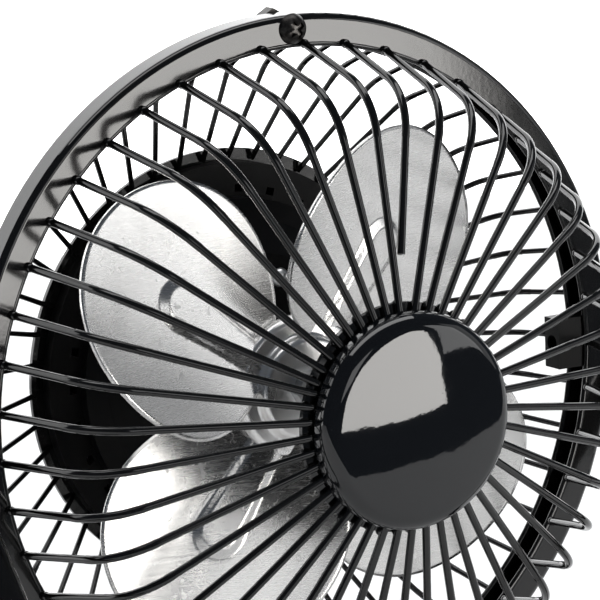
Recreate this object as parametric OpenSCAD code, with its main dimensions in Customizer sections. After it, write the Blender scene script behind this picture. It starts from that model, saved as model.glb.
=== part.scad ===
// Small metal desk fan: a wire guard of two halves joined at a flanged rim, a stamped
// four-lobed blade on a small direct-current motor, and a bent rod stand with two side pivots.
// The fan blows towards -Y. Head parts are drawn about the fan's axis, with z forward.

/* [Fan blade] */
// Radius of the blade tips
blade_r = 52; // [44:1:60]
// Number of lobes
blade_count = 4; // [3:1:6]
// Radius of one round lobe
lobe_r = 22; // [16:0.5:24]
// Angle of the lobes to the plane of rotation
blade_pitch = 22; // [15:1:32]
// Thickness of the aluminium sheet
blade_t = 0.8; // [0.6:0.1:1.4]
// Angle of the first lobe at rest, seen from the front
blade_turn = 53; // [0:1:90]
// Radius of the flat centre of the blade
hub_r = 13.2; // [12:0.1:16]
// How far the blade's centre lies behind the guard's front face
blade_back = 2; // [0:0.5:6]
// Radius of the round end of the pressed rib in each lobe
rib_r = 4; // [2:0.5:6]
// Height of the pressed rib
rib_h = 0.5; // [0.3:0.1:0.8]
// Radius of the boss that carries the blade
boss_r = 9; // [7:0.5:11]
// Thickness of the boss in front of the blade
boss_front = 3.5; // [2:0.5:5]
// Length of the boss behind the blade
boss_rear = 6; // [3:0.5:8]
// Radius of the boss behind the blade
boss_neck_r = 5; // [4:0.5:7]
// Width across the flats of the nut on the shaft's end
blade_nut_w = 7; // [6:0.5:9]
// Thickness of that nut
blade_nut_t = 2.4; // [1.6:0.2:3.2]

/* [Guard rim] */
// Room between the blade tips and the hoops
guard_gap = 10; // [6:0.5:16]
// Diameter of the hoop wire
hoop_d = 1.2; // [1:0.1:1.4]
// Depth of the rim from its front face to its back face
rim_depth = 6.3; // [6:0.1:9]
// Width of the rim's flat face outside the hoop
rim_face = 5.3; // [5:0.1:7]
// Sheet thickness of the two rim rings
rim_t = 0.8; // [0.6:0.1:1.2]
// Rounding of the rim's outer corners
rim_round = 1.2; // [1.2:0.1:2]
// Diameter of the screws that join the rings
ring_screw_d = 3; // [2:0.5:3.5]
// Diameter of their heads
ring_head_d = 5.6; // [4.6:0.1:5.8]
// Height of their heads
ring_head_h = 2; // [1.4:0.1:2.6]
// Width across the flats of their nuts
ring_nut_w = 5.5; // [4.5:0.1:5.6]
// Thickness of their nuts
ring_nut_t = 2.4; // [1.6:0.2:3]

/* [Front guard] */
// Number of front wires
front_wire_count = 45; // [30:1:48]
// Diameter of the front wires
front_wire_d = 1.4; // [1:0.1:1.6]
// Angle at which the front wires lean in along the side of the guard
front_lean = 16.2; // [8:0.2:24]
// Depth of the side of the front guard
front_side = 22; // [16:0.5:30]
// Slope of the front of the guard
front_slope = 15; // [8:0.5:22]
// Bend radius of the front wires
front_bend = 13; // [6:0.5:16]
// Radius of the weld bead at the start of a front wire
bead_r = 0.85; // [0.8:0.05:0.9]
// Radius at which the short wire stops
short_wire_r = 28; // [24:0.5:40]
// Radius of the dished plate that the wires are welded to
plate_r = 20.2; // [18:0.2:26]
// Thickness of that plate
plate_t = 1; // [0.8:0.1:1.6]
// Length of the wires that lie on the plate
plate_lap = 3.2; // [2:0.2:5]

/* [Cap] */
// Radius of the cap over the wire ends
cap_r = 19.2; // [17.4:0.2:20]
// Height of the cap's straight side
cap_side = 1.6; // [1.5:0.1:4]
// Radius of the cap's shoulder
cap_shoulder = 3.2; // [2:0.1:4]
// Height of the cap's crown above its straight side
cap_crown = 4.6; // [4.3:0.1:6]
// Wall of the cap
cap_wall = 1.2; // [0.8:0.1:1.6]
// Radius of the boss inside the cap
cap_boss_r = 3.4; // [2.6:0.1:5]
// Diameter of the screw that holds the cap
cap_screw_d = 2.6; // [2:0.1:3]

/* [Rear guard] */
// Number of rear wires
rear_wire_count = 46; // [30:2:54]
// Diameter of the rear wires
rear_wire_d = 1; // [0.8:0.1:1.2]
// Angle at which the rear wires lean in along the side of the guard
rear_lean = 26.4; // [16:0.2:30]
// Slope of the rear wires behind their bend
rear_slope = 34; // [26:0.5:38]
// Bend radius of the rear wires
rear_bend = 10; // [5:0.5:14]
// Thickness of the ring that the rear wires are welded to
weld_ring_t = 0.8; // [0.8:0.1:1.6]
// Width of that ring outside the motor housing
weld_ring_lap = 2.4; // [2.2:0.1:5]

/* [Motor housing] */
// Radius of the housing's rim
housing_r = 37.6; // [36.4:0.2:44]
// Wall of the housing
housing_wall = 1.8; // [1.4:0.1:2.2]
// Distance of the housing's nose behind the blade's sweep
nose_gap = 6.5; // [5:0.5:14]
// Depth of the stepped nose
nose_depth = 9; // [8:0.5:12]
// Thickness of the housing's front rim
housing_rim_t = 2.5; // [2:0.1:4]
// Width of the flange where the two shells meet
housing_flange = 3.9; // [3.8:0.1:4.4]
// Thickness of the rear shell's flange
rear_flange_t = 2; // [1.6:0.1:3]
// Depth of the rear shell behind its flange
rear_shell = 24.5; // [24:0.5:34]
// Radius of the rear shell where its slope meets its back
rear_back_r = 23; // [22.8:0.2:26]
// Rounding of the rear shell
rear_round = 3; // [2.4:0.2:3.2]
// Number of vent slots around the housing's front
vent_count = 30; // [12:2:40]
// Width of a vent slot
vent_w = 1.6; // [1:0.1:2]
// Diameter of the housing and motor screws
case_screw_d = 2; // [1.6:0.1:2.2]
// Diameter of their heads
case_head_d = 3.6; // [3:0.1:3.7]
// Height of their heads
case_head_h = 1.4; // [1:0.1:2]

/* [Motor] */
// Radius of the motor can
can_r = 14; // [13:0.5:15]
// Wall of the motor can
can_wall = 1.2; // [1:0.1:1.6]
// Length of the motor can
can_len = 26; // [25:0.5:27]
// Diameter of the shaft
shaft_d = 3; // [2:0.5:4]
// Radial running clearance of the shaft in its bushes
shaft_play = 0.04; // [0.02:0.01:0.08]
// Radial thickness of the bushes
bush_wall = 2; // [1.5:0.1:2.5]
// Length of the bushes
bush_len = 4; // [3:0.5:4.5]
// Radial thickness of the magnets
magnet_t = 2.4; // [1.8:0.1:3]
// Gap between the magnets and the armature
air_gap = 0.5; // [0.3:0.1:0.8]
// Length of the armature core
core_len = 13; // [10:0.5:14]
// Radius of the commutator
commutator_r = 3.6; // [3:0.1:4.5]
// Length of the commutator
commutator_len = 4; // [3:0.5:4.5]

/* [Switch and lead inlet] */
// Width of the rocker switch's frame
switch_w = 15; // [13:0.5:18]
// Height of the rocker switch's frame
switch_h = 10.6; // [10:0.2:12]
// Height of the switch's centre above the fan's axis
switch_z = 13; // [11:0.5:13.5]
// Angle of the rocker to each side
rocker_tilt = 8; // [5:1:12]
// Distance of the lead inlet below the fan's axis
inlet_z = 16.5; // [15:0.5:16.5]
// Diameter of the lead that the inlet takes
lead_d = 3.6; // [3:0.1:4.2]

/* [Stand] */
// Height of the tilt axis above the table
pivot_h = 85; // [80:1:110]
// Length of the stand from front to back
stand_depth = 120; // [110:2:150]
// Diameter of the stand's rod
rod_d = 6; // [5:0.2:7]
// Bend radius of the rod
rod_bend = 14; // [10:0.5:20]
// Slope of the legs
leg_rise = 48; // [44:0.5:56]
// Thickness of the flattened eyes at the pivots
eye_t = 2.4; // [1.6:0.1:3]
// Radius of the eyes
eye_r = 5.5; // [4.5:0.1:6.5]
// Diameter of the pivot screws
pivot_d = 3; // [2.4:0.1:3.2]
// Diameter of the pivot screws' heads
pivot_head_d = 6.8; // [5.6:0.2:9]
// Height of the pivot screws' heads
pivot_head_h = 2.4; // [1.6:0.2:3.2]
// Radius of the spacers between rim and eyes
spacer_r = 4.6; // [4:0.1:5.4]
// Thickness of those spacers
spacer_t = 2.4; // [2:0.1:4]
// Height of the pivot blocks inside the rim
block_h = 9.4; // [7:0.2:12]
// How far the right pivot block reaches inside the hoops
block_in = 6; // [3:0.5:8]
// How far the left pivot block reaches inside the hoops
left_block_in = 0; // [0:0.5:8]
// Length of each rubber foot
foot_len = 14; // [10:0.5:20]
// Rubber around the rod
foot_wall = 2.2; // [1.5:0.1:3.5]
// Rubber under the rod
foot_sole = 2; // [1.5:0.1:3]
// Distance of the feet's centres from the ends of the stand
foot_inset = 28; // [27:0.5:34]

/* [Hidden] */
$fn = 64;

// Clearances
hole_play = 0.1;
seat_gap = 0.2;
weld_sink = 0.15;
bend_swell = 0.05;
bend_lap = 2;
cut_over = 1;

// Details of the guard, the housing, the motor, the switch and the stand
dish_margin = 1.5;
rear_tip_gap = 0.6;
ring_screw_angle = 35;
cross_width = 0.17;
cross_length = 0.55;
cross_depth = 0.5;
step_h = 2;
step_1_in = 2.4;
step_2_in = 6;
vent_margin = 0.8;
round_steps = 8;
slot_w = 2;
slot_pitch = 5;
slot_side = 3;
slot_low = -10;
slot_len = 14;
screw_bite = 1;
motor_screw_out = 4;
motor_screw_angle = 70;
flange_edge = 1;
nose_edge = 1.2;
neck_len = 4;
core_inset = 4;
winding_in = 1.2;
winding_len = 2.4;
magnet_angle = 120;
end_cap_t = 2.5;
end_boss_len = 2.6;
shaft_recess = 1;
brush_w = 2.4;
brush_clear = 1.4;
holder_wall = 1.5;
holder_gap = 2;
switch_lip = 1.6;
switch_lap = 1;
switch_depth = 6.5;
pocket_depth = 3.6;
rocker_side = 2.5;
rocker_end = 2.1;
rocker_gap = 0.3;
rocker_axis_out = 0.4;
rocker_back = 1.2;
rocker_tip = 1.9;
rocker_dip = 1.5;
pin_d = 1.2;
pin_len = 1;
gland_wall = 1.2;
gland_flange = 1.2;
eye_neck = 9;
eye_blend = 8;
eye_side = 4.7;
eye_root = 2.4;
washer_t = 0.8;
washer_edge = 0.5;
rib_root = 1;
hub_lap = 0.6;

// Colours
black_paint = [0.03, 0.03, 0.03];
black_plastic = [0.06, 0.06, 0.06];
bright_metal = [0.78, 0.78, 0.78];
steel_grey = [0.5, 0.5, 0.52];
bronze = [0.6, 0.45, 0.25];
copper = [0.72, 0.42, 0.22];
rubber_black = [0.09, 0.09, 0.09];

// Guard rim, from the blade outwards
hoop_r = blade_r + guard_gap;
rim_in = hoop_r + hoop_d / 2 - 2 * weld_sink;
rim_out = hoop_r + rim_face;
hoop_z = -hoop_d / 2;
ring_screw_r = (rim_in + rim_out) / 2;
seam_z = -rim_depth / 2;

// Blade, from its centre plane outwards
lobe_c = blade_r - lobe_r;
blade_reach = blade_back + blade_t + lobe_r * sin(blade_pitch);
boss_top = -blade_back + boss_front;
blade_nut_z = boss_top + blade_nut_t;
shaft_front = blade_nut_z + cut_over;

// Front guard profile: radius and forward distance of the wire's centre line
wire_z = hoop_z + hoop_d / 2 + front_wire_d / 2 - 2 * weld_sink;
front_step = 360 / front_wire_count;
front_start = [hoop_r, wire_z];
front_corner = [hoop_r - front_side * tan(front_lean), wire_z + front_side];
front_tip_r = plate_r - plate_lap;
front_tip = [front_tip_r, front_z(front_tip_r)];
// Dished plate under the wire ends
plate_flat_r = front_tip_r - dish_margin;
plate_top = front_z(plate_r) - (front_wire_d / 2 - weld_sink) / cos(front_slope);
plate_flat_top = plate_top + (plate_r - plate_flat_r) * tan(front_slope);
plate_flat_back = plate_flat_top - plate_t;
// Cap, with its edge on the wires
cap_rim = front_z(cap_r - cap_wall) + front_wire_d / 2 / cos(front_slope) + seat_gap / 2;
cap_shoulder_z = cap_rim + cap_side;
cap_front = cap_shoulder_z + cap_crown;
cap_dome_r = (pow(cap_r - cap_shoulder, 2) + pow(cap_crown, 2) - pow(cap_shoulder, 2))
  / (2 * (cap_crown - cap_shoulder));

// Motor housing stations, as forward distances
nose_z = -(blade_reach + nose_gap);
face_z = nose_z - nose_depth;
housing_back = face_z - housing_rim_t;
weld_ring_back = housing_back - weld_ring_t;
rear_flange_back = weld_ring_back - rear_flange_t;
rear_end = rear_flange_back - rear_shell;
shell_r = housing_r - housing_flange;
rear_taper = atan2(shell_r - rear_back_r, rear_shell);
case_screw_r = housing_r - housing_flange / 2;
weld_ring_in = shell_r + 2 * seat_gap;
// Stepped nose: two rings between the nose and the rim
step_1 = [shell_r - step_1_in, face_z + step_h];
step_2 = [shell_r - step_2_in, face_z + 2 * step_h];
vent_in = step_1[0] + vent_margin;
vent_out = shell_r - seat_gap;
motor_screw_r = can_r + motor_screw_out;
flange_r = motor_screw_r + case_head_d / 2 + flange_edge;
nose_r = flange_r + nose_edge;

// Motor stations, from the flange on the nose's inner face backwards
can_front = nose_z - housing_wall;
can_back = can_front - can_len;
neck_r = shaft_d / 2 + shaft_play + bush_wall + can_wall;
neck_front = nose_z + neck_len;
bush_r = shaft_d / 2 + shaft_play + bush_wall;
magnet_in = can_r - can_wall - magnet_t;
core_r = magnet_in - air_gap;
core_front = can_front - can_wall - core_inset;
core_back = core_front - core_len;
winding_r = core_r - winding_in;
commutator_front = core_back - winding_len - 2 * seat_gap;
commutator_back = commutator_front - commutator_len;
end_back = can_back - end_cap_t - end_boss_len;
shaft_back = end_back + shaft_recess;
brush_out = can_r - can_wall - brush_clear;

// Switch and inlet on the rear shell
switch_face = rear_end - switch_lip;
cutout_w = switch_w - 2 * switch_lap;
cutout_h = switch_h - 2 * switch_lap;
rocker_w = switch_w - 2 * rocker_side;
rocker_h = switch_h - 2 * rocker_end;
rocker_axis = rear_end - rocker_axis_out;
gland_neck_r = lead_d / 2 + gland_wall;
gland_flange_r = gland_neck_r + gland_flange;

// Stand, with the head's pivots at the top of its sloping legs
rod_r = rod_d / 2;
rod_z = foot_sole + rod_r;
eye_in = rim_out + spacer_t + seat_gap;
rod_x = eye_in + eye_t / 2;
leg_centre = [-stand_depth / 2 + rod_r + rod_bend, rod_z + rod_bend];
leg_low = leg_centre + rod_bend * unit(leg_rise + 90);
pivot_at = [leg_low[0] + (pivot_h - leg_low[1]) / tan(leg_rise), pivot_h];
head_y = pivot_at[0] + seam_z;
bar_y = stand_depth / 2 - rod_r;
flat_end = eye_neck + eye_blend;
washer_in = eye_in + eye_t + seat_gap;
head_in = washer_in + washer_t;

// Unit vector at an angle, and the angle of the line from one point to another
function unit(a) = [cos(a), sin(a)];
function heading(a, b) = atan2(b[1] - a[1], b[0] - a[0]);
// Forward distance of the front wires' centre line at a radius
function front_z(r) = front_corner[1] + (front_corner[0] - r) * tan(front_slope);
// Swing of each front wire's inner end: hand-welded, fanned out from the short wire
function wire_swing(k) = lookup(k / front_wire_count * 45, [[0, 3], [1, 13], [2, 11],
  [30, -2.3], [35, -2.2], [36, -1.2], [37, 1.7], [38, 2.6], [45, 3]]);

// Places a piece drawn about the fan's axis on the stand
module on_head() {
  translate([0, head_y, pivot_h]) rotate([90, 0, 0]) children();
}

// Round bar between two points of the XZ plane
module bar(a, b, d) {
  translate([a[0], 0, a[1]]) rotate([0, 90 - heading(a, b), 0]) cylinder(h = norm(b - a), d = d);
}

// Bend in the XZ plane about a centre, between two angles: it swells a hair beyond the straight
// bars on both sides and laps over their ends
module bent_bar(centre, bend_r, from, to, d) {
  translate([centre[0], 0, centre[1]]) rotate([90, 0, 0]) rotate([0, 0, from - bend_lap])
    rotate_extrude(angle = to - from + 2 * bend_lap)
      translate([bend_r, 0]) circle(d = d + 2 * bend_swell);
}

// Guard wire in the XZ plane with one bend at a corner, between two headings
module guard_wire(start, corner, tip, h1, h2, bend_r, d) {
  run = bend_r * tan((h2 - h1) / 2);
  bend_from = corner - run * unit(h1);
  bend_to = corner + run * unit(h2);
  bar(start, bend_from, d);
  bent_bar(bend_from + bend_r * unit(h1 + 90), bend_r, h1 - 90, h2 - 90, d);
  bar(bend_to, tip, d);
}

// One front wire, swung about its start on the hoop
module front_wire(swing, tip) {
  reach = front_start[0] - front_tip_r;
  translate([hoop_r, 0, 0]) rotate([0, 0, -asin(front_tip_r * sin(swing) / reach)])
    translate([-hoop_r, 0, 0]) {
      guard_wire(front_start, front_corner, tip, 90 + front_lean, 180 - front_slope, front_bend,
        front_wire_d);
      translate([front_start[0], 0, front_start[1]]) sphere(r = bead_r);
    }
}

// Flat ring about the axis between two heights
module flat_ring(inner, outer, low, high) {
  translate([0, 0, low]) difference() {
    cylinder(h = high - low, r = outer);
    translate([0, 0, -cut_over]) cylinder(h = high - low + 2 * cut_over, r = inner);
  }
}

// Torus of round wire
module hoop(r, z, d) {
  translate([0, 0, z]) rotate_extrude() translate([r, 0]) circle(d = d);
}

// Section of a rim ring: a face, a rounded corner and a flange that reaches the seam
module rim_section() {
  corner = [rim_out - rim_round, -rim_round];
  translate([rim_in, -rim_t]) square([corner[0] - rim_in, rim_t]);
  translate([rim_out - rim_t, seam_z]) square([rim_t, corner[1] - seam_z]);
  translate(corner) intersection() {
    difference() {
      circle(r = rim_round);
      circle(r = rim_round - rim_t);
    }
    square(rim_round);
  }
}

// Rim ring with its screw holes and the half-round notches for the pivots
module rim_ring() {
  difference() {
    rotate_extrude() rim_section();
    for (a = [90, 270])
      rotate([0, 0, a]) translate([ring_screw_r, 0, -rim_t - cut_over])
        cylinder(h = rim_t + 2 * cut_over, d = ring_screw_d + 2 * hole_play);
    translate([-rim_out - cut_over, 0, seam_z]) rotate([0, 90, 0])
      cylinder(h = 2 * (rim_out + cut_over), d = pivot_d + 2 * hole_play);
  }
}

// Mirrors a front piece to the back half of the rim
module at_back() {
  translate([0, 0, 2 * seam_z]) mirror([0, 0, 1]) children();
}

// Screw with a domed head at z = 0 upwards and its shank below, with a cross recess
module pan_screw(d, head_d, head_h, length) {
  cross_w = head_d * cross_width;
  cross_l = head_d * cross_length;
  crown_r = (pow(head_d / 2, 2) + pow(head_h, 2)) / (2 * head_h);
  difference() {
    union() {
      intersection() {
        cylinder(h = head_h, d = head_d);
        translate([0, 0, head_h - crown_r]) sphere(r = crown_r);
      }
      translate([0, 0, -length]) cylinder(h = length, d = d);
    }
    for (a = [0, 90])
      rotate([0, 0, a]) translate([-cross_l / 2, -cross_w / 2, head_h * cross_depth])
        cube([cross_l, cross_w, head_h]);
  }
}

// Hexagonal nut standing on z = 0
module hex_nut(width, thickness, bore_d) {
  difference() {
    cylinder(h = thickness, d = width / cos(30), $fn = 6);
    translate([0, 0, -cut_over]) cylinder(h = thickness + 2 * cut_over, d = bore_d);
  }
}

// Half of the cap's section, drawn inwards by a wall
module cap_half(wall) {
  dome_z = cap_front - cap_dome_r;
  edge = cap_r - cap_shoulder;
  lean = [edge, cap_shoulder_z - dome_z];
  intersection() {
    translate([0, dome_z]) circle(r = cap_dome_r - wall);
    polygon([[0, dome_z], [0, dome_z] + 2 * lean, [0, dome_z + 2 * lean[1]]]);
    translate([0, cap_rim]) square([cap_r, cap_front]);
  }
  intersection() {
    translate([edge, cap_shoulder_z]) circle(r = cap_shoulder - wall);
    translate([0, cap_shoulder_z]) square(cap_r);
  }
  translate([0, cap_rim]) square([cap_r - wall, cap_side]);
}

// Repeats a piece on both pivots, turned to point outwards along X at the tilt axis
module at_pivots() {
  for (side = [0, 1])
    mirror([side, 0, 0]) translate([0, pivot_at[0], pivot_at[1]]) rotate([0, 90, 0]) children();
}

// Flattened end of the rod along -Y, with the eye about X at the origin
module rod_eye() {
  root_y = -flat_end - eye_root;
  intersection() {
    translate([0, -flat_end - cut_over, 0]) rotate([-90, 0, 0])
      cylinder(h = flat_end, r = rod_r + bend_swell);
    translate([0, 0, -rod_d]) linear_extrude(2 * rod_d) polygon([[-rod_d, -flat_end - eye_blend],
      [-eye_t / 2 - seat_gap, -eye_neck], [eye_t / 2 + seat_gap, -eye_neck],
      [rod_d, -flat_end - eye_blend]]);
  }
  translate([-eye_t / 2, 0, 0]) rotate([0, 90, 0]) {
    cylinder(h = eye_t, r = eye_r);
    linear_extrude(eye_t) polygon([[-eye_side, 0], [-eye_root, root_y], [eye_root, root_y], [eye_side, 0]]);
  }
}

// Half of the stand: an eye, the leg, the floor run and half of the rear bar
module stand_half() {
  leg_top = pivot_at - flat_end * unit(leg_rise);
  floor_from = [leg_centre[0], rod_z];
  translate([rod_x, 0, 0]) rotate([0, 0, 90]) {
    bar(leg_top, leg_low, rod_d);
    bent_bar(leg_centre, rod_bend, leg_rise + 90, 270, rod_d);
    bar(floor_from, [bar_y - rod_bend, rod_z], rod_d);
  }
  translate([rod_x - rod_bend, bar_y - rod_bend, rod_z]) rotate_extrude(angle = 90)
    translate([rod_bend, 0]) circle(d = rod_d);
  translate([0, bar_y, rod_z]) rotate([0, 90, 0]) cylinder(h = rod_x - rod_bend, d = rod_d);
  translate([rod_x, pivot_at[0], pivot_at[1]]) rotate([leg_rise, 0, 0]) rod_eye();
}

module stand_rod() {
  color(black_paint) difference() {
    union() {
      stand_half();
      mirror([1, 0, 0]) stand_half();
    }
    at_pivots() cylinder(h = rod_x + rod_d, d = pivot_d + 2 * shaft_play);
  }
}

module rubber_feet() {
  color(rubber_black)
    for (side = [-1, 1], end = [-1, 1])
      translate([side * rod_x, end * (stand_depth / 2 - foot_inset) - foot_len / 2, rod_z])
        rotate([-90, 0, 0]) difference() {
          intersection() {
            cylinder(h = foot_len, r = rod_r + foot_wall);
            translate([-rod_d * 2, -rod_d * 2, 0]) cube([rod_d * 4, rod_d * 2 + rod_z, foot_len]);
          }
          translate([0, 0, -cut_over]) cylinder(h = foot_len + 2 * cut_over, d = rod_d);
        }
}

module front_ring() {
  color(black_paint) on_head() rim_ring();
}

module front_hoop() {
  color(black_paint) on_head() hoop(hoop_r, hoop_z, hoop_d);
}

module front_wires() {
  short_tip = [short_wire_r, front_z(short_wire_r)];
  color(black_paint) on_head()
    for (k = [0 : front_wire_count - 1])
      rotate([0, 0, 90 - front_step / 4 - k * front_step])
        front_wire(wire_swing(k), k == 1 ? short_tip : front_tip);
}

module grille_plate() {
  color(black_paint) on_head() difference() {
    rotate_extrude() polygon([[0, plate_flat_back], [plate_flat_r, plate_flat_back],
      [plate_r, plate_top - plate_t], [plate_r, plate_top], [plate_flat_r, plate_flat_top],
      [0, plate_flat_top]]);
    translate([0, 0, plate_flat_back - cut_over])
      cylinder(h = plate_t + 2 * cut_over, d = cap_screw_d + 2 * hole_play);
  }
}

module grille_cap() {
  color(black_paint) on_head() difference() {
    rotate_extrude() {
      difference() {
        cap_half(0);
        translate([0, -cut_over / 100]) cap_half(cap_wall);
      }
      translate([0, plate_flat_top]) square([cap_boss_r, cap_front - cap_wall - plate_flat_top]);
    }
    translate([0, 0, plate_flat_top - cut_over])
      cylinder(h = cap_front - 2 * cap_wall - plate_flat_top + cut_over, d = cap_screw_d);
  }
}

module cap_screw() {
  color(steel_grey) on_head() translate([0, 0, plate_flat_back]) rotate([180, 0, 0])
    pan_screw(cap_screw_d, cap_screw_d * 2, cap_screw_d * 0.6, plate_t + cap_side + cap_crown / 2);
}

module rear_ring() {
  color(black_paint) on_head() at_back() rim_ring();
}

module rear_hoop() {
  color(black_paint) on_head() at_back() hoop(hoop_r, hoop_z, hoop_d);
}

module rear_wires() {
  start = [hoop_r, -2 * seam_z + hoop_z + hoop_d / 2 + rear_wire_d / 2 - 2 * weld_sink];
  tip = [housing_r + rear_tip_gap, -housing_back - rear_wire_d / 2 + weld_sink];
  rise = tip[1] - start[1] - (start[0] - tip[0]) * tan(rear_slope);
  side = rise / (1 - tan(rear_lean) * tan(rear_slope));
  corner = start + side * [-tan(rear_lean), 1];
  step = 360 / rear_wire_count;
  color(black_paint) on_head()
    for (k = [0 : rear_wire_count - 1])
      rotate([0, 0, 90 + step / 2 + k * step]) mirror([0, 0, 1])
        guard_wire(start, corner, tip, 90 + rear_lean, 180 - rear_slope, rear_bend, rear_wire_d);
}

module rear_weld_ring() {
  color(black_paint) on_head() difference() {
    flat_ring(weld_ring_in, housing_r + weld_ring_lap, weld_ring_back, housing_back);
    case_screw_holes(case_screw_d + 2 * hole_play);
  }
}

module ring_screws() {
  color(black_paint) on_head()
    for (a = [90, 270])
      rotate([0, 0, a]) translate([ring_screw_r, 0, 0]) rotate([0, 0, ring_screw_angle])
        pan_screw(ring_screw_d, ring_head_d, ring_head_h, rim_depth + ring_nut_t);
}

module ring_nuts() {
  color(steel_grey) on_head()
    for (a = [90, 270])
      rotate([0, 0, a]) translate([ring_screw_r, 0, -rim_depth - ring_nut_t])
        hex_nut(ring_nut_w, ring_nut_t, ring_screw_d);
}

module pivot_blocks() {
  block_d = rim_depth - 2 * rim_t - seat_gap;
  right_end = hoop_r - block_in;
  left_end = hoop_r - left_block_in;
  color(black_plastic) difference() {
    intersection() {
      translate([0, pivot_at[0], pivot_at[1]]) rotate([0, 90, 0]) difference() {
        union() {
          translate([-block_h / 2, -block_d / 2, right_end]) cube([block_h, block_d, rim_out - right_end]);
          translate([-block_h / 2, -block_d / 2, -rim_out]) cube([block_h, block_d, rim_out - left_end]);
        }
        translate([0, 0, -rim_out - cut_over]) cylinder(h = 2 * (rim_out + cut_over), d = pivot_d);
      }
      on_head() translate([0, 0, -rim_depth]) cylinder(h = rim_depth, r = rim_out - rim_t);
    }
    on_head() {
      hoop(hoop_r, hoop_z, hoop_d + 2 * hole_play);
      at_back() hoop(hoop_r, hoop_z, hoop_d + 2 * hole_play);
    }
  }
}

module pivot_spacers() {
  color(black_plastic) at_pivots() flat_ring(pivot_d / 2, spacer_r, rim_out, rim_out + spacer_t);
}

module pivot_screws() {
  shank = head_in - hoop_r + left_block_in;
  color(black_paint) at_pivots() translate([0, 0, head_in])
    pan_screw(pivot_d, pivot_head_d, pivot_head_h, shank);
}

module pivot_washers() {
  color(steel_grey) at_pivots() flat_ring(pivot_d / 2, pivot_head_d / 2 + washer_edge, washer_in, head_in);
}

// Screw holes shared by the two housing shells and the weld ring
module case_screw_holes(d) {
  for (a = [45 : 90 : 315])
    rotate([0, 0, a]) translate([case_screw_r, 0, rear_flange_back - cut_over])
      cylinder(h = face_z - screw_bite - rear_flange_back + cut_over, d = d);
}

module housing_front() {
  color(black_plastic) on_head() difference() {
    rotate_extrude() polygon([[neck_r + hole_play, nose_z], [nose_r, nose_z], [step_2[0], step_2[1]],
      [step_1[0], step_1[1]], [step_1[0], face_z], [housing_r, face_z], [housing_r, housing_back],
      [step_1[0] - housing_wall, housing_back], [step_1[0] - housing_wall, step_1[1] - housing_wall],
      [step_2[0] - housing_wall, step_2[1] - housing_wall], [nose_r - housing_wall / 2, can_front],
      [neck_r + hole_play, can_front]]);
    for (k = [0 : vent_count - 1])
      rotate([0, 0, k * 360 / vent_count])
        translate([vent_in, -vent_w / 2, housing_back - cut_over])
          cube([vent_out - vent_in, vent_w, housing_rim_t + 2 * cut_over]);
    case_screw_holes(case_screw_d);
    motor_screw_holes(case_screw_d + 2 * hole_play);
  }
}

module housing_rear() {
  inner_r = shell_r - housing_wall;
  color(black_plastic) on_head() difference() {
    union() {
      flat_ring(inner_r, housing_r, rear_flange_back, weld_ring_back);
      rotate_extrude() difference() {
        shell_half(shell_r, rear_end, rear_round);
        shell_half(shell_r - housing_wall / cos(rear_taper), rear_end + housing_wall,
          rear_round - housing_wall);
      }
    }
    case_screw_holes(case_screw_d + 2 * hole_play);
    translate([-cutout_w / 2, switch_z - cutout_h / 2, rear_end - cut_over])
      cube([cutout_w, cutout_h, housing_wall + 2 * cut_over]);
    translate([0, -inlet_z, rear_end - cut_over])
      cylinder(h = housing_wall + 2 * cut_over, r = gland_neck_r);
    for (k = [-slot_side : slot_side])
      translate([k * slot_pitch - slot_w / 2, slot_low, rear_end - cut_over])
        cube([slot_w, slot_len, housing_wall + 2 * cut_over]);
  }
}

// Half section of the sloping rear shell, solid from the axis to its outside
module shell_half(r, back, round_r) {
  front = rear_flange_back + cut_over / 100;
  round_z = back + round_r;
  round_x = r + ((round_z - front) * sin(rear_taper) - round_r) / cos(rear_taper);
  corner = [for (k = [0 : round_steps])
    [round_x, round_z] + round_r * unit(-90 + (90 - rear_taper) * k / round_steps)];
  polygon(concat([[0, front], [0, back]], corner, [[r, front]]));
}

module housing_screws() {
  color(steel_grey) on_head()
    for (a = [45 : 90 : 315])
      rotate([0, 0, a]) translate([case_screw_r, 0, rear_flange_back]) rotate([180, 0, 0])
        pan_screw(case_screw_d, case_head_d, case_head_h, rear_flange_t + weld_ring_t + screw_bite);
}

// Holes of the two screws that hold the motor to the housing's nose
module motor_screw_holes(d) {
  for (a = [motor_screw_angle, motor_screw_angle + 180])
    rotate([0, 0, a]) translate([motor_screw_r, 0, can_front - 2 * cut_over])
      cylinder(h = housing_wall + 4 * cut_over, d = d);
}

module motor_can() {
  color(steel_grey) on_head() difference() {
    union() {
      translate([0, 0, can_front - can_wall]) cylinder(h = can_wall, r = flange_r);
      translate([0, 0, can_back]) cylinder(h = can_len, r = can_r);
      translate([0, 0, can_front]) cylinder(h = neck_front - can_front, r = neck_r);
    }
    translate([0, 0, can_back - cut_over])
      cylinder(h = can_len - can_wall + cut_over, r = can_r - can_wall);
    translate([0, 0, neck_front - bush_len]) cylinder(h = bush_len + cut_over, r = bush_r);
    translate([0, 0, can_front - can_wall - cut_over])
      cylinder(h = neck_front - can_front + can_wall, d = shaft_d + 4 * hole_play);
    motor_screw_holes(case_screw_d);
  }
}

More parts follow.
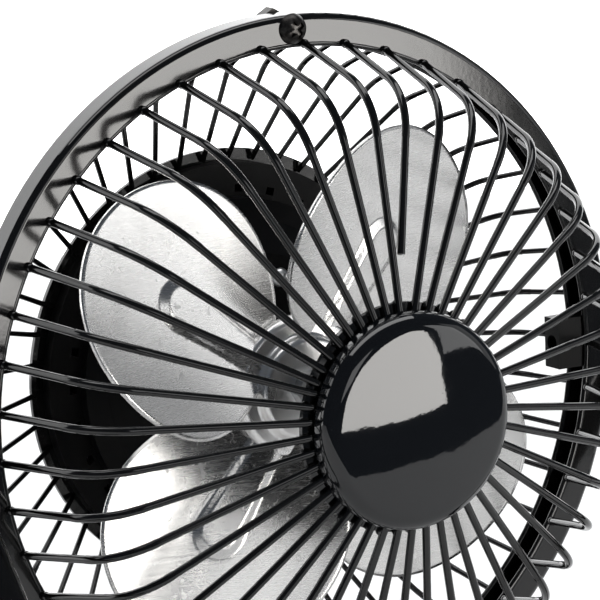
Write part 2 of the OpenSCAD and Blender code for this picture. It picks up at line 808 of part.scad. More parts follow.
module motor_end_cap() {
  holder_in = commutator_r + holder_gap;
  color(black_plastic) on_head() difference() {
    union() {
      translate([0, 0, can_back - end_cap_t]) cylinder(h = end_cap_t, r = can_r);
      translate([0, 0, end_back]) cylinder(h = end_boss_len, r = bush_r + can_wall);
      for (side = [-1, 1])
        translate([side * (brush_out + holder_in) / 2, 0, (can_back + commutator_front) / 2])
          cube([brush_out - holder_in, brush_w + 2 * holder_wall, commutator_front - can_back],
            center = true);
    }
    translate([0, 0, end_back - cut_over]) cylinder(h = bush_len + cut_over, r = bush_r);
    translate([0, 0, can_back - end_cap_t - cut_over])
      cylinder(h = end_cap_t + 2 * cut_over, d = shaft_d + 4 * hole_play);
    brush_bars();
  }
}

// The two brushes, on a line through the commutator's axis
module brush_bars() {
  middle = (commutator_front + commutator_back) / 2;
  for (side = [-1, 1])
    translate([side * (brush_out + commutator_r + hole_play) / 2, 0, middle])
      cube([brush_out - commutator_r - hole_play, brush_w, brush_w], center = true);
}

module motor_screws() {
  color(bright_metal) on_head()
    for (a = [motor_screw_angle, motor_screw_angle + 180])
      rotate([0, 0, a]) translate([motor_screw_r, 0, nose_z])
        pan_screw(case_screw_d, case_head_d, case_head_h, housing_wall + can_wall);
}

module magnets() {
  color(steel_grey) on_head()
    for (a = [-magnet_angle / 2, 180 - magnet_angle / 2])
      rotate([0, 0, a + 90]) translate([0, 0, core_back])
        rotate_extrude(angle = magnet_angle) translate([magnet_in, 0]) square([magnet_t, core_len]);
}

module front_bush() {
  color(bronze) on_head()
    flat_ring(shaft_d / 2 + shaft_play, bush_r, neck_front - bush_len, neck_front);
}

module rear_bush() {
  color(bronze) on_head()
    flat_ring(shaft_d / 2 + shaft_play, bush_r, end_back, end_back + bush_len);
}

module brushes() {
  color(steel_grey) on_head() brush_bars();
}

module switch_body() {
  color(black_plastic) on_head() translate([0, switch_z, 0]) difference() {
    union() {
      translate([-switch_w / 2, -switch_h / 2, switch_face]) cube([switch_w, switch_h, switch_lip]);
      translate([-cutout_w / 2, -cutout_h / 2, rear_end]) cube([cutout_w, cutout_h, switch_depth]);
    }
    translate([-rocker_w / 2 - rocker_gap, -rocker_h / 2 - 2 * rocker_gap, switch_face - cut_over])
      cube([rocker_w + 2 * rocker_gap, rocker_h + 4 * rocker_gap, pocket_depth + cut_over]);
    translate([-rocker_w / 2 - pin_len - seat_gap, 0, rocker_axis]) rotate([0, 90, 0])
      cylinder(h = rocker_w + 2 * (pin_len + seat_gap), d = pin_d + 2 * shaft_play);
  }
}

module switch_rocker() {
  half = rocker_h / 2;
  color(black_plastic) on_head() translate([0, switch_z, rocker_axis]) rotate([rocker_tilt, 0, 0]) {
    rotate([90, 0, 90]) translate([0, 0, -rocker_w / 2]) linear_extrude(rocker_w)
      polygon([[-half, rocker_back], [half, rocker_back], [half, -rocker_tip], [0, -rocker_dip],
        [-half, -rocker_tip]]);
    translate([-rocker_w / 2 - pin_len, 0, 0]) rotate([0, 90, 0])
      cylinder(h = rocker_w + 2 * pin_len, d = pin_d);
  }
}

module cable_gland() {
  color(rubber_black) on_head() translate([0, -inlet_z, 0]) difference() {
    union() {
      translate([0, 0, rear_end - gland_flange]) cylinder(h = gland_flange, r = gland_flange_r);
      translate([0, 0, rear_end]) cylinder(h = housing_wall, r = gland_neck_r);
      translate([0, 0, rear_end + housing_wall]) cylinder(h = gland_flange, r = gland_flange_r);
    }
    translate([0, 0, rear_end - gland_flange - cut_over])
      cylinder(h = housing_wall + 2 * gland_flange + 2 * cut_over, d = lead_d);
  }
}

module shaft() {
  color(bright_metal) on_head() translate([0, 0, shaft_back])
    cylinder(h = shaft_front - shaft_back, d = shaft_d);
}

module armature() {
  color(steel_grey) on_head() flat_ring(shaft_d / 2, core_r, core_back, core_front);
}

module windings() {
  color(copper) on_head() {
    flat_ring(shaft_d / 2, winding_r, core_front, core_front + winding_len);
    flat_ring(shaft_d / 2, winding_r, core_back - winding_len, core_back);
  }
}

module commutator() {
  color(copper) on_head() flat_ring(shaft_d / 2, commutator_r, commutator_back, commutator_front);
}

// One lobe of the blade with its pressed rib, turned about its own radius to the pitch
module lobe() {
  rotate([blade_pitch, 0, 0]) {
    translate([lobe_c, 0, -blade_t]) cylinder(h = blade_t, r = lobe_r);
    translate([lobe_c, 0, 0]) cylinder(h = rib_h, r = rib_r);
    linear_extrude(rib_h) polygon([[hub_r - rib_root, -rib_root], [lobe_c, -rib_r], [lobe_c, rib_r],
      [hub_r - rib_root, rib_root]]);
  }
}

module fan_blade() {
  bore = boss_neck_r;
  color(bright_metal) on_head() translate([0, 0, -blade_back]) difference() {
    union() {
      for (k = [0 : blade_count - 1])
        rotate([0, 0, blade_turn + k * 360 / blade_count]) difference() {
          lobe();
          cylinder(h = 4 * lobe_r, r = hub_r - hub_lap, center = true);
        }
      translate([0, 0, -blade_t]) cylinder(h = blade_t, r = hub_r);
    }
    translate([0, 0, -cut_over - blade_t]) cylinder(h = blade_t + 2 * cut_over, r = bore);
  }
}

module blade_boss() {
  color(bright_metal) on_head() difference() {
    union() {
      translate([0, 0, -blade_back]) cylinder(h = boss_front, r = boss_r);
      translate([0, 0, -blade_back - blade_t - boss_rear])
        cylinder(h = boss_rear + blade_t, r = boss_neck_r);
    }
    translate([0, 0, -blade_back - blade_t - boss_rear - cut_over])
      cylinder(h = boss_front + blade_t + boss_rear + 2 * cut_over, d = shaft_d);
  }
}

module blade_nut() {
  color(steel_grey) on_head() translate([0, 0, boss_top]) hex_nut(blade_nut_w, blade_nut_t, shaft_d);
}

stand_rod();
rubber_feet();
front_ring();
front_hoop();
front_wires();
grille_plate();
grille_cap();
cap_screw();
rear_ring();
rear_hoop();
rear_wires();
rear_weld_ring();
ring_screws();
ring_nuts();
pivot_blocks();
pivot_spacers();
pivot_screws();
pivot_washers();
housing_front();
housing_rear();
housing_screws();
motor_can();
motor_end_cap();
motor_screws();
magnets();
front_bush();
rear_bush();
brushes();
switch_body();
switch_rocker();
cable_gland();
shaft();
armature();
windings();
commutator();
fan_blade();
blade_boss();
blade_nut();
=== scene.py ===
import math

import bmesh
import bpy
from mathutils import Matrix, Vector


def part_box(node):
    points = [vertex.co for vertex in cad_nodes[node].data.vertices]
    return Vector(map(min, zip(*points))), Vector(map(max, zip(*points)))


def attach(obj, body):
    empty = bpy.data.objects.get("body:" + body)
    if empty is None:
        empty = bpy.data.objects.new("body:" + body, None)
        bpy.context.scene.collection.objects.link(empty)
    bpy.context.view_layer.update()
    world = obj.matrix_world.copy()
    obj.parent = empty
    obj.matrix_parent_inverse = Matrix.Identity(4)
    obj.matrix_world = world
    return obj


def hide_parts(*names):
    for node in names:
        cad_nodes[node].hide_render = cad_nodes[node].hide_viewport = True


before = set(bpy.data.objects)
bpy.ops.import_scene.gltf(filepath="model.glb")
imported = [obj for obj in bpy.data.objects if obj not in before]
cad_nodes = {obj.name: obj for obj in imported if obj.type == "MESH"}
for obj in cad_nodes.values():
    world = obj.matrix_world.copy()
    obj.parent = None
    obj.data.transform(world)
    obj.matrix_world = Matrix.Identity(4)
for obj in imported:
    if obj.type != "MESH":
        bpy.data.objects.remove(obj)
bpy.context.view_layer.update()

# Stand
# A steel rod bent into two legs, two floor runs and a rear bar, with its ends hammered
# flat into eyes, and stove-enamelled gloss black.
MM = 0.001
MIX_FACTOR, MIX_LOW, MIX_HIGH, MIX_RESULT = 0, 6, 7, 2


class Sock:
    """One output of a shader node. Arithmetic on it adds Math nodes, and node() any other node."""

    def __init__(self, tree, out):
        self.tree = tree
        self.out = out

    def node(self, kind, settings, sockets, output=0):
        made = self.tree.nodes.new("ShaderNode" + kind)
        for key, value in settings.items():
            setattr(made, key, value)
        for key, value in sockets.items():
            if isinstance(value, Sock):
                self.tree.links.new(value.out, made.inputs[key])
            else:
                made.inputs[key].default_value = value
        return Sock(self.tree, made.outputs[output])

    def math(self, operation, first, second=0.0):
        return self.node("Math", {"operation": operation}, {0: first, 1: second})

    def __add__(self, other):
        return self.math("ADD", self, other)

    def __radd__(self, other):
        return self.math("ADD", other, self)

    def __sub__(self, other):
        return self.math("SUBTRACT", self, other)

    def __rsub__(self, other):
        return self.math("SUBTRACT", other, self)

    def __mul__(self, other):
        return self.math("MULTIPLY", self, other)

    def clamp(self, low, high):
        return self.math("MINIMUM", self.math("MAXIMUM", self, low), high)

    def above(self, level, soft):
        """0 well below a level and 1 well above it, with a soft step between."""
        return ((self - level) * (0.5 / soft) + 0.5).clamp(0.0, 1.0)

    def noise(self, scale, detail=2.0, roughness=0.5):
        sockets = {"Vector": self, "Scale": scale, "Detail": detail, "Roughness": roughness}
        return self.node("TexNoise", {}, sockets)

    def mapped(self, rotation=(0, 0, 0), scale=(1, 1, 1)):
        return self.node("Mapping", {}, {"Vector": self, "Rotation": rotation, "Scale": scale})


def tint(shade, low, high):
    """A colour between two, by a shade from 0 to 1."""
    sockets = {MIX_FACTOR: shade, MIX_LOW: (*low, 1), MIX_HIGH: (*high, 1)}
    return shade.node("Mix", {"data_type": "RGBA"}, sockets, output=MIX_RESULT)


def bumped(height, strength, depth_mm):
    sockets = {"Strength": strength, "Distance": depth_mm * MM, "Height": height}
    return height.node("Bump", {}, sockets)


def finish(name, make):
    """A material whose surface is what make returns for its Object coordinates."""
    material = bpy.data.materials.new(name)
    material.use_nodes = True
    tree = material.node_tree
    shader = tree.nodes["Principled BSDF"]
    place = Sock(tree, tree.nodes.new("ShaderNodeTexCoord").outputs["Object"])
    for socket, value in make(place).items():
        if isinstance(value, Sock):
            tree.links.new(value.out, shader.inputs[socket])
        else:
            shader.inputs[socket].default_value = value
    return material


def dress(material, *names):
    """Gives CAD nodes a material."""
    for name in names:
        mesh = cad_nodes[name].data
        mesh.materials.clear()
        mesh.materials.append(material)


def gloss_black(place):
    """Stove enamel: a faint orange peel, smears that dull the gloss in patches, dust specks."""
    dust = place.noise(2600, detail=3, roughness=0.6).above(0.74, soft=0.03)
    smear = place.noise(75, detail=4, roughness=0.6)
    peel = place.noise(1100, detail=1)
    shade = dust * 0.8 + smear * 0.2
    return {
        "Base Color": tint(shade, (0.002, 0.002, 0.002), (0.02, 0.019, 0.018)),
        "Roughness": 0.04 + smear * 0.09 + dust * 0.25,
        "Normal": bumped(peel, strength=0.05, depth_mm=0.05),
        "IOR": 1.52,
    }


black_paint = finish("black_paint", gloss_black)
dress(black_paint, "stand_rod")

# Feet
# Four moulded rubber sleeves pushed over the floor runs, flat below, slightly dusty.


def moulded_rubber(place):
    grain = place.noise(1800, detail=4, roughness=0.7)
    dust = place.noise(150, detail=5, roughness=0.6)
    return {
        "Base Color": tint(dust, (0.012, 0.012, 0.012), (0.05, 0.048, 0.046)),
        "Roughness": 0.62 + grain * 0.3,
        "Normal": bumped(grain, strength=0.25, depth_mm=0.08),
    }


rubber = finish("rubber", moulded_rubber)
dress(rubber, "rubber_feet")

# Guard rim
# Two pressed sheet-steel rings, flange to flange, each with a hoop of wire welded inside,
# enamelled black and held together by machine screws and nuts.
ring_low, ring_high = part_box("front_ring")
face_y = ring_low.y
hub_z = (ring_low.z + ring_high.z) / 2
dress(black_paint, "front_ring", "front_hoop", "rear_ring", "rear_hoop")


def blackened(place):
    """Blackened steel: brown-black oxide, worn lighter in specks."""
    wear = place.noise(700, detail=4, roughness=0.6)
    bare = wear.above(0.6, soft=0.15)
    return {
        "Base Color": tint(bare, (0.018, 0.016, 0.015), (0.10, 0.095, 0.09)),
        "Metallic": 0.75,
        "Roughness": 0.22 + wear * 0.2,
        "Normal": bumped(wear, strength=0.08, depth_mm=0.05),
    }


def zinc_plate(place):
    """Bright zinc plate: fine turned lines and a slightly blue cast."""
    lines = place.mapped(scale=(1, 14, 1)).noise(900, detail=3, roughness=0.6)
    spot = place.noise(300, detail=3)
    return {
        "Base Color": tint(spot, (0.46, 0.47, 0.49), (0.72, 0.72, 0.71)),
        "Metallic": 1.0,
        "Roughness": 0.2 + lines * 0.25,
        "Normal": bumped(lines, strength=0.08, depth_mm=0.04),
    }


blackened_steel = finish("blackened_steel", blackened)
plated_steel = finish("plated_steel", zinc_plate)
dress(blackened_steel, "ring_screws", "ring_nuts", "pivot_screws")

# Front guard
# Bent steel wires spot-welded by hand to the hoop and, at their inner ends, to a dished
# plate, where each weld leaves a small lump. One wire stops short of the plate.
WIRE_COUNT = 45
SHORT_WIRE = 1
WIRE_STEP = 360 / WIRE_COUNT
FIRST_WIRE = 90 - WIRE_STEP / 4
HOOP_R = 62
TIP_R = 17
SWINGS = ((0, 3), (1, 13), (2, 11), (30, -2.3), (35, -2.2), (36, -1.2), (37, 1.7), (38, 2.6),
          (45, 3))
WELD_R = 20
WELD_STRAY = 0.3
WELD_FWD = 31.2
WELD_SIZE = 0.85
WELD_SPREAD = 0.25
WELD_SHAPE = (1.15, 0.8, 0.95)
STRAY_BEAT, SPREAD_BEAT = 1.7, 2.4


def on_head(radius, angle, forward):
    """A point of the head in the row frame: radius and forward distance in mm, angle in degrees."""
    a = math.radians(angle)
    up = radius * math.sin(a) * MM
    return Vector((radius * math.cos(a) * MM, face_y - forward * MM, hub_z + up))


def swing_of(wire):
    """Degrees by which a wire's inner end stands off its even place round the plate."""
    for (k0, s0), (k1, s1) in zip(SWINGS, SWINGS[1:]):
        if wire <= k1:
            return s0 + (s1 - s0) * (wire - k0) / (k1 - k0)
    return SWINGS[-1][1]


def piece(name, mesh_builder, material, body, replaced=()):
    """A new piece: its mesh from a bmesh, smooth, riding on a body."""
    mesh = bpy.data.meshes.new(name)
    mesh_builder.normal_update()
    mesh_builder.to_mesh(mesh)
    mesh_builder.free()
    mesh.materials.append(material)
    mesh.shade_smooth()
    made = bpy.data.objects.new(name, mesh)
    bpy.context.scene.collection.objects.link(made)
    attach(made, body)
    if replaced:
        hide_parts(*replaced)


welds = bmesh.new()
for k in range(WIRE_COUNT):
    if k == SHORT_WIRE:
        continue
    lean = math.asin(TIP_R * math.sin(math.radians(swing_of(k))) / (HOOP_R - TIP_R))
    turn = math.degrees(math.asin((HOOP_R - WELD_R) * math.sin(lean) / WELD_R))
    size = WELD_SIZE + WELD_SPREAD * math.sin(k * SPREAD_BEAT)
    weld_r = WELD_R + WELD_STRAY * math.sin(k * STRAY_BEAT)
    lump = bmesh.ops.create_icosphere(welds, subdivisions=2, radius=MM)["verts"]
    bmesh.ops.scale(welds, vec=[share * size for share in WELD_SHAPE], verts=lump)
    weld_at = on_head(weld_r, FIRST_WIRE - k * WIRE_STEP + turn, WELD_FWD)
    bmesh.ops.translate(welds, vec=weld_at, verts=lump)
piece("wire_welds", welds, black_paint, "head")
dress(black_paint, "front_wires", "grille_plate")

# Cap
# A domed pressing over the wire ends, high-gloss black enamel, with a rolled shoulder and a
# short straight side; a screw from behind the plate holds it.
cap_low, cap_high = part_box("grille_cap")
CAP_R = (cap_high.x - cap_low.x) / 2
CAP_FRONT = face_y - cap_low.y
CAP_SIDE = 1.6 * MM
CAP_SHOULDER = 3.2 * MM
CAP_CROWN = 4.6 * MM
CAP_WALL = 1.2 * MM
CAP_LIP = 0.35 * MM
INNER_CUT = 2
ARC_STEPS = 12
LIP_STEPS = 4
SEAM = 1e-6


def arc(centre, radius, start, end, steps):
    """Points of an arc in the plane of radius and forward distance, angles in degrees."""
    turns = [math.radians(start + (end - start) * i / steps) for i in range(steps + 1)]
    return [(centre[0] + radius * math.cos(t), centre[1] + radius * math.sin(t)) for t in turns]


def turned(profile, steps=128):
    """A closed surface spun about the head's axis from points of radius and forward distance."""
    made = bmesh.new()
    line = [made.verts.new((r, face_y - f, hub_z)) for r, f in profile]
    edges = [made.edges.new(pair) for pair in zip(line, line[1:])]
    bmesh.ops.spin(made, geom=line + edges, cent=(0, 0, hub_z), axis=(0, 1, 0), angle=math.tau,
                   steps=steps, use_merge=True)
    bmesh.ops.remove_doubles(made, verts=made.verts, dist=SEAM)
    bmesh.ops.recalc_face_normals(made, faces=made.faces)
    return made


shoulder_f = CAP_FRONT - CAP_CROWN
edge_r = CAP_R - CAP_SHOULDER
dome_r = (edge_r**2 + CAP_CROWN**2 - CAP_SHOULDER**2) / (2 * (CAP_CROWN - CAP_SHOULDER))
dome_f = CAP_FRONT - dome_r
dome_end = math.degrees(math.atan2(shoulder_f - dome_f, edge_r))
rim_f = shoulder_f - CAP_SIDE
outside = (arc((0, dome_f), dome_r, 90, dome_end, 2 * ARC_STEPS)
           + arc((edge_r, shoulder_f), CAP_SHOULDER, dome_end, 0, ARC_STEPS)[1:]
           + arc((CAP_R - CAP_LIP, rim_f + CAP_LIP), CAP_LIP, 0, -90, LIP_STEPS))
inside = [(CAP_R - CAP_WALL, rim_f), (CAP_R - CAP_WALL, shoulder_f)]
inside += arc((0, dome_f), dome_r - CAP_WALL, dome_end + INNER_CUT, 90, ARC_STEPS)


def cap_gloss(place):
    """High-gloss enamel with a slow waviness and a few dust specks."""
    wave = place.noise(130, detail=1.5) + place.noise(900, detail=2, roughness=0.6) * 0.07
    dust = place.noise(3000, detail=3, roughness=0.6).above(0.74, soft=0.03)
    return {
        "Base Color": tint(dust, (0.0035, 0.004, 0.005), (0.05, 0.05, 0.05)),
        "Roughness": 0.035 + dust * 0.3,
        "Normal": bumped(wave, strength=0.3, depth_mm=0.16),
        "IOR": 1.55,
    }


cap_enamel = finish("cap_enamel", cap_gloss)
piece("cap_shell", turned(outside + inside), cap_enamel, "head", ["grille_cap"])
dress(plated_steel, "cap_screw")

# Rear guard
# Thinner wires welded to the rear hoop and to a flat ring that the motor housing clamps.
dress(black_paint, "rear_wires", "rear_weld_ring")

# Tilt pivots
# Moulded blocks between the rim rings, plastic spacers, washers and machine screws through
# the eyes of the stand; the head tilts on the two screws.


def moulded_black(place):
    """Satin moulded plastic: fine spark grain and patches where handling has polished it."""
    grain = place.noise(2200, detail=3, roughness=0.6)
    polish = place.noise(90, detail=4, roughness=0.6)
    return {
        "Base Color": tint(polish, (0.0015, 0.0015, 0.0016), (0.006, 0.006, 0.0062)),
        "Roughness": 0.36 - polish * 0.14 + grain * 0.1,
        "Normal": bumped(grain, strength=0.1, depth_mm=0.04),
        "Specular IOR Level": 0.1,
    }


black_plastic = finish("black_plastic", moulded_black)
dress(black_plastic, "pivot_blocks", "pivot_spacers")
dress(plated_steel, "pivot_washers")

# Motor housing
# Two moulded shells screwed together over the weld ring; the front one is stepped, with
# vent notches around its rim, and the rear one carries the switch and the lead's inlet.
dress(black_plastic, "housing_front", "housing_rear")
dress(plated_steel, "housing_screws", "motor_screws")

# Switch and inlet
# A snap-in rocker switch with a glossy rocker, and a rubber grommet for the lead.


def rocker_gloss(place):
    smear = place.noise(400, detail=4, roughness=0.6)
    return {
        "Base Color": tint(smear, (0.008, 0.008, 0.008), (0.022, 0.021, 0.02)),
        "Roughness": 0.12 + smear * 0.16,
        "Normal": bumped(smear, strength=0.05, depth_mm=0.03),
    }


dress(black_plastic, "switch_body")
dress(finish("rocker_plastic", rocker_gloss), "switch_rocker")
dress(rubber, "cable_gland")

# Motor
# A small brushed motor: drawn steel can, moulded end cap, ferrite magnets, bronze bushes
# and carbon brushes.


def ferrite_ground(place):
    pit = place.noise(1500, detail=4, roughness=0.7)
    return {
        "Base Color": tint(pit, (0.03, 0.03, 0.032), (0.12, 0.118, 0.115)),
        "Roughness": 0.5 + pit * 0.3,
        "Normal": bumped(pit, strength=0.3, depth_mm=0.05),
    }


def sintered_bronze(place):
    pore = place.noise(2400, detail=3, roughness=0.7)
    return {
        "Base Color": tint(pore, (0.30, 0.19, 0.08), (0.62, 0.44, 0.22)),
        "Metallic": 1.0,
        "Roughness": 0.3 + pore * 0.25,
        "Normal": bumped(pore, strength=0.25, depth_mm=0.03),
    }


def pressed_carbon(place):
    speck = place.noise(2600, detail=4, roughness=0.7)
    return {
        "Base Color": tint(speck, (0.015, 0.015, 0.016), (0.07, 0.07, 0.072)),
        "Roughness": 0.45 + speck * 0.3,
        "Normal": bumped(speck, strength=0.2, depth_mm=0.03),
    }


dress(plated_steel, "motor_can")
dress(black_plastic, "motor_end_cap")
dress(finish("ferrite", ferrite_ground), "magnets")
dress(finish("bronze", sintered_bronze), "front_bush", "rear_bush")
dress(finish("carbon", pressed_carbon), "brushes")

# Rotor
# Ground steel shaft with a stack of steel sheets, enamelled copper windings at both ends
# of the stack and a copper commutator.


def stacked_sheets(place):
    layers = place.mapped(scale=(0.05, 60, 0.05)).noise(60, detail=1)
    return {
        "Base Color": tint(layers, (0.18, 0.18, 0.185), (0.45, 0.45, 0.46)),
        "Metallic": 1.0,
        "Roughness": 0.3 + layers * 0.2,
        "Normal": bumped(layers, strength=0.4, depth_mm=0.05),
    }


def wound_copper(place):
    turns = place.mapped(scale=(0.2, 30, 0.2)).noise(60, detail=2)
    return {
        "Base Color": tint(turns, (0.28, 0.10, 0.035), (0.75, 0.36, 0.17)),
        "Metallic": 1.0,
        "Roughness": 0.22 + turns * 0.2,
        "Normal": bumped(turns, strength=0.5, depth_mm=0.1),
    }


dress(plated_steel, "shaft", "blade_nut")
dress(finish("core_steel", stacked_sheets), "armature")
dress(finish("copper", wound_copper), "windings", "commutator")

# Blade
# Four round lobes stamped from brushed aluminium sheet, twisted to their pitch, each with a
# teardrop rib pressed from behind, pinned between the turned boss and its nut.
LOBES = 4
FIRST_LOBE = 53
LOBE_R = 22
LOBE_AT = 30
PITCH = math.radians(22)
SHEET = 0.8
BLADE_BACK = 2
HUB_R = 13.2
HUB_SEGMENTS = 96
LEAD_SWELL, LEAD_AT, LEAD_WIDE = 0.11, 2.25, 0.6
TRAIL_CUT, TRAIL_AT, TRAIL_WIDE = 0.04, -2.1, 0.7
RIB_R = 4.0
RIB_H = 1.0
RIB_SOFT = 1.1
RIB_TAPER = 0.35
CAMBER = 0.0045
CAMBER_AT = 10
RINGS = 30
SPOKES = 120
LOBE_SEAM = 1e-4


def lobe_edge(turn):
    """Outline of a lobe as a share of its radius: fuller at the root of its leading side."""
    swell = LEAD_SWELL * math.exp(-((turn - LEAD_AT) / LEAD_WIDE)**2)
    cut = TRAIL_CUT * math.exp(-((turn - TRAIL_AT) / TRAIL_WIDE)**2)
    return 1 + swell - cut


def rib_height(x, y):
    """Height of the pressed teardrop at a point of the lobe, from its centre."""
    along = min(max(-x / (LOBE_AT - HUB_R), 0), 1)
    width = RIB_R * (1 - RIB_TAPER * along)
    reach = math.hypot(max(x, 0), y)
    fade = min(max((width - reach) / RIB_SOFT + 0.5, 0), 1)
    return RIB_H * fade * fade * (3 - 2 * fade)


blade = bmesh.new()
for n in range(LOBES):
    lobe = bmesh.new()
    spoke = [lobe.verts.new((LOBE_R * i / RINGS, 0, 0)) for i in range(RINGS + 1)]
    spoke_edges = [lobe.edges.new(pair) for pair in zip(spoke, spoke[1:])]
    bmesh.ops.spin(lobe, geom=spoke + spoke_edges, cent=(0, 0, 0), axis=(0, 0, 1),
                   angle=math.tau, steps=SPOKES, use_merge=True)
    bmesh.ops.remove_doubles(lobe, verts=lobe.verts, dist=LOBE_SEAM)
    bmesh.ops.recalc_face_normals(lobe, faces=lobe.faces)
    if sum(f.normal.z for f in lobe.faces) < 0:
        bmesh.ops.reverse_faces(lobe, faces=lobe.faces)
    for v in lobe.verts:
        v.co.xy *= lobe_edge(math.atan2(v.co.y, v.co.x))
        v.co.z = rib_height(v.co.x, v.co.y) + CAMBER * v.co.y * (v.co.y - 2 * CAMBER_AT)
    bmesh.ops.solidify(lobe, geom=lobe.faces, thickness=SHEET)
    lobe_place = (Matrix.Rotation(math.radians(FIRST_LOBE + n * 360 / LOBES), 4, "Z")
                  @ Matrix.Rotation(PITCH, 4, "X") @ Matrix.Translation((LOBE_AT, 0, 0)))
    bmesh.ops.transform(lobe, matrix=lobe_place, verts=lobe.verts)
    lobe_mesh = bpy.data.meshes.new("lobe")
    lobe.to_mesh(lobe_mesh)
    lobe.free()
    blade.from_mesh(lobe_mesh)
    bpy.data.meshes.remove(lobe_mesh)
disc = bmesh.ops.create_cone(blade, cap_ends=True, segments=HUB_SEGMENTS, radius1=HUB_R,
                             radius2=HUB_R, depth=SHEET)["verts"]
bmesh.ops.translate(blade, vec=(0, 0, -SHEET / 2), verts=disc)
to_head = (Matrix.Translation((0, face_y, hub_z)) @ Matrix.Rotation(math.pi / 2, 4, "X")
           @ Matrix.Scale(MM, 4) @ Matrix.Translation((0, 0, -BLADE_BACK)))
bmesh.ops.transform(blade, matrix=to_head, verts=blade.verts)


def brushed_sheet(place):
    """Brushed aluminium: fine parallel lines, cloudy gloss, scuffs, and scratches in patches."""
    along = place.mapped(rotation=(0, math.radians(24), 0), scale=(1, 1, 26))
    brush = along.noise(150, detail=4, roughness=0.65)
    cloud = place.noise(42, detail=3, roughness=0.55)
    worn = place.noise(30, detail=2).above(0.52, soft=0.07)
    nick = place.noise(420, detail=5, roughness=0.7).above(0.63, soft=0.02)
    contour = place.noise(110, detail=3, roughness=0.65) - 0.5
    scratch = (1.0 - contour.math("ABSOLUTE", contour) * 150).clamp(0.0, 1.0)
    struck = place.noise(95, detail=1).above(0.63, soft=0.03)
    scuff = place.math("MAXIMUM", nick * worn * 0.6, scratch * struck)
    shade = (cloud * 0.4 + brush * 0.6 + scuff * 0.4).clamp(0.0, 1.0)
    return {
        "Base Color": tint(shade, (0.55, 0.545, 0.535), (0.97, 0.96, 0.945)),
        "Metallic": 1.0,
        "Roughness": 0.14 + brush * 0.14 + cloud * 0.1 + scuff * 0.3,
        "Normal": bumped(brush + scuff * 0.4, strength=0.035, depth_mm=0.05),
    }


blade_aluminium = finish("blade_aluminium", brushed_sheet)
piece("blade_sheet", blade, blade_aluminium, "rotor", ["fan_blade"])

# Hub
# The blade's turned aluminium boss: a polished cup with two rounded steps in front and a
# neck behind, pressed on the shaft.
SHAFT_R = 1.5
NECK_R = 5
NECK_BACK = -8
CUP_BACK = -2.9
CUP_EDGE = 0.4
STEP_ROUND = 1.4
FILLET_AT, FILLET_R = 10.4, 0.7
NOSE_AT, NOSE_MID, NOSE_ROUND = 8.4, 0.5, 1.2
FACE_W = 2.4
FACE_FWD = 1.5
ROUND_STEPS = 8
FILLET_STEPS = 5

cup = [(SHAFT_R, NECK_BACK), (NECK_R, NECK_BACK), (NECK_R, CUP_BACK), (HUB_R - CUP_EDGE, CUP_BACK)]
cup += arc((HUB_R - STEP_ROUND, -BLADE_BACK), STEP_ROUND, 0, 90, ROUND_STEPS)
cup += arc((FILLET_AT, STEP_ROUND - BLADE_BACK + FILLET_R), FILLET_R, -90, -170, FILLET_STEPS)
cup += arc((NOSE_AT, NOSE_MID), NOSE_ROUND, 0, 80, ROUND_STEPS)
cup += [(SHAFT_R + FACE_W, FACE_FWD), (SHAFT_R, FACE_FWD), (SHAFT_R, NECK_BACK)]


def spun_aluminium(place):
    """Polished turned aluminium: softly clouded, with hardly any grain."""
    cloud = place.noise(60, detail=2)
    grain = place.noise(900, detail=2)
    return {
        "Base Color": tint(cloud, (0.82, 0.815, 0.805), (0.97, 0.96, 0.945)),
        "Metallic": 1.0,
        "Roughness": 0.2 + cloud * 0.14,
        "Normal": bumped(grain, strength=0.02, depth_mm=0.03),
    }


piece("hub_cup", turned([(r * MM, f * MM) for r, f in cup]),
      finish("spun_aluminium", spun_aluminium), "rotor", ["blade_boss"])

# Studio
# A white sweep under and behind the fan, clear from behind; a softbox in front at the right,
# a strip overhead and three cards in front; the room is dim, and pale where the camera sees it.
FLOOR_FRONT = -0.235
FLOOR_BACK = 0.55
SWEEP_R = 0.30
SWEEP_TOP = 1.4
SWEEP_HALF = 2.2
FLOOR_GLOW = 0.1
WALL_GLOW = 1.8
SOFTBOX_GLOW = 8.0
SOFTBOX_Y = -0.70
SOFTBOX = ((89, -136), (110, -40), (160, 45), (260, 98), (372, 123), (436, 110), (476, 55),
           (498, -20), (514, -130), (300, -142))
ROOM_STRENGTH = 0.1


def stage_material(name, colour, glow):
    made = bpy.data.materials.new(name)
    made.use_nodes = True
    shader = made.node_tree.nodes["Principled BSDF"]
    shader.inputs["Base Color"].default_value = (*colour, 1)
    shader.inputs["Roughness"].default_value = 0.9
    shader.inputs["Emission Color"].default_value = (*colour, 1)
    shader.inputs["Emission Strength"].default_value = glow
    return made


def mixed(tree, factor, first, second, end):
    """Leads one shader or the other, by a factor, to the end of a tree."""
    mix = tree.nodes.new("ShaderNodeMixShader")
    for source, socket in zip((factor, first, second), mix.inputs):
        tree.links.new(source, socket)
    tree.links.new(mix.outputs["Shader"], end)


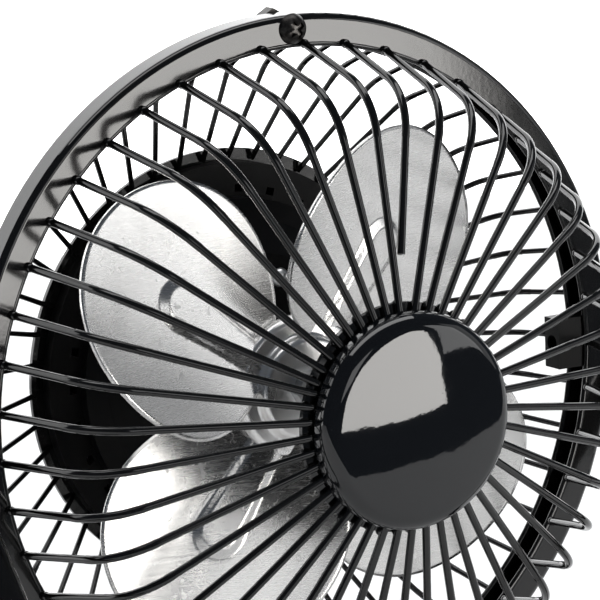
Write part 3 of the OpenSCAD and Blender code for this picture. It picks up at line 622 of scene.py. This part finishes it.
sweep = bmesh.new()
curve = [(FLOOR_FRONT, 0), (FLOOR_BACK, 0)]
curve += [(FLOOR_BACK + y, SWEEP_R + z) for y, z in arc((0, 0), SWEEP_R, -90, 0, ARC_STEPS)[1:]]
curve += [(FLOOR_BACK + SWEEP_R, SWEEP_TOP)]
side = [sweep.verts.new((-SWEEP_HALF, y, z)) for y, z in curve]
side_edges = [sweep.edges.new(pair) for pair in zip(side, side[1:])]
wide = bmesh.ops.extrude_edge_only(sweep, edges=side_edges)["geom"]
far_side = [v for v in wide if isinstance(v, bmesh.types.BMVert)]
bmesh.ops.translate(sweep, vec=(2 * SWEEP_HALF, 0, 0), verts=far_side)
backdrop_mesh = bpy.data.meshes.new("backdrop")
sweep.to_mesh(backdrop_mesh)
sweep.free()
wall = stage_material("lit_wall", (0.96, 0.96, 0.96), WALL_GLOW)
wall_nodes = wall.node_tree.nodes
mixed(wall.node_tree, wall_nodes.new("ShaderNodeNewGeometry").outputs["Backfacing"],
      wall_nodes["Principled BSDF"].outputs["BSDF"],
      wall_nodes.new("ShaderNodeBsdfTransparent").outputs["BSDF"],
      wall_nodes["Material Output"].inputs["Surface"])
backdrop_mesh.materials.append(stage_material("white_floor", (0.93, 0.93, 0.93), FLOOR_GLOW))
backdrop_mesh.materials.append(wall)
for face in backdrop_mesh.polygons:
    face.material_index = int(face.center.y > FLOOR_BACK)
backdrop_mesh.shade_smooth()
backdrop = bpy.data.objects.new("backdrop", backdrop_mesh)
bpy.context.scene.collection.objects.link(backdrop)


def panel(name, centre, aim, width, height, radiance):
    """A rectangular soft light at a point, facing another, of an even brightness."""
    lamp = bpy.data.lights.new(name, "AREA")
    lamp.shape = "RECTANGLE"
    lamp.size = width
    lamp.size_y = height
    lamp.energy = radiance * math.pi * width * height
    made = bpy.data.objects.new(name, lamp)
    made.location = centre
    made.rotation_mode = "QUATERNION"
    made.rotation_quaternion = (Vector(aim) - Vector(centre)).to_track_quat("-Z", "Y")
    made.visible_camera = False
    bpy.context.scene.collection.objects.link(made)


hub = Vector((0, face_y, hub_z))
box = bmesh.new()
box.faces.new([box.verts.new(hub + Vector((x * MM, SOFTBOX_Y, z * MM))) for x, z in SOFTBOX])
box_mesh = bpy.data.meshes.new("softbox")
box.to_mesh(box_mesh)
box.free()
box_mesh.materials.append(stage_material("softbox_cloth", (1, 0.98, 0.95), SOFTBOX_GLOW))
softbox = bpy.data.objects.new("softbox", box_mesh)
softbox.visible_camera = False
bpy.context.scene.collection.objects.link(softbox)
panel("overhead", (0, 0.05, 1.1), aim=(0, 0, 0), width=1.2, height=0.4, radiance=3.2)
panel("side_card", hub + Vector((0.84, -0.40, 0.24)), hub, width=0.45, height=0.5, radiance=0.6)
panel("key_card", hub + Vector((0.66, -0.66, 0.18)), hub, width=0.3, height=0.34, radiance=2.1)
panel("front_card", hub + Vector((-0.07, -0.95, 0.24)), hub, width=0.36, height=0.36, radiance=1.8)

world = bpy.data.worlds.new("room")
world.use_nodes = True
room = world.node_tree.nodes
room["Background"].inputs["Color"].default_value = (0.72, 0.83, 1, 1)
room["Background"].inputs["Strength"].default_value = ROOM_STRENGTH
pale = room.new("ShaderNodeBackground")
pale.inputs["Color"].default_value = (0.8, 0.8, 0.8, 1)
mixed(world.node_tree, room.new("ShaderNodeLightPath").outputs["Is Camera Ray"],
      room["Background"].outputs["Background"], pale.outputs["Background"],
      room["World Output"].inputs["Surface"])
bpy.context.scene.world = world
bpy.context.scene.view_settings.view_transform = "Standard"

# Camera
# Long lens from the front left and a little above, close enough to crop the guard.
LENS_MM = 270
SENSOR_MM = 36
CAMERA_AT = Vector((-0.4116, -0.6714, 0.1697))
CAMERA_TURN = (78.957, 2.055, -31.881)
NEAREST = 0.01

lens = bpy.data.cameras.new("camera")
lens.lens = LENS_MM
lens.sensor_width = SENSOR_MM
lens.clip_start = NEAREST
camera = bpy.data.objects.new("camera", lens)
camera.location = hub + CAMERA_AT
camera.rotation_euler = [math.radians(turn) for turn in CAMERA_TURN]
bpy.context.scene.collection.objects.link(camera)
bpy.context.scene.camera = camera
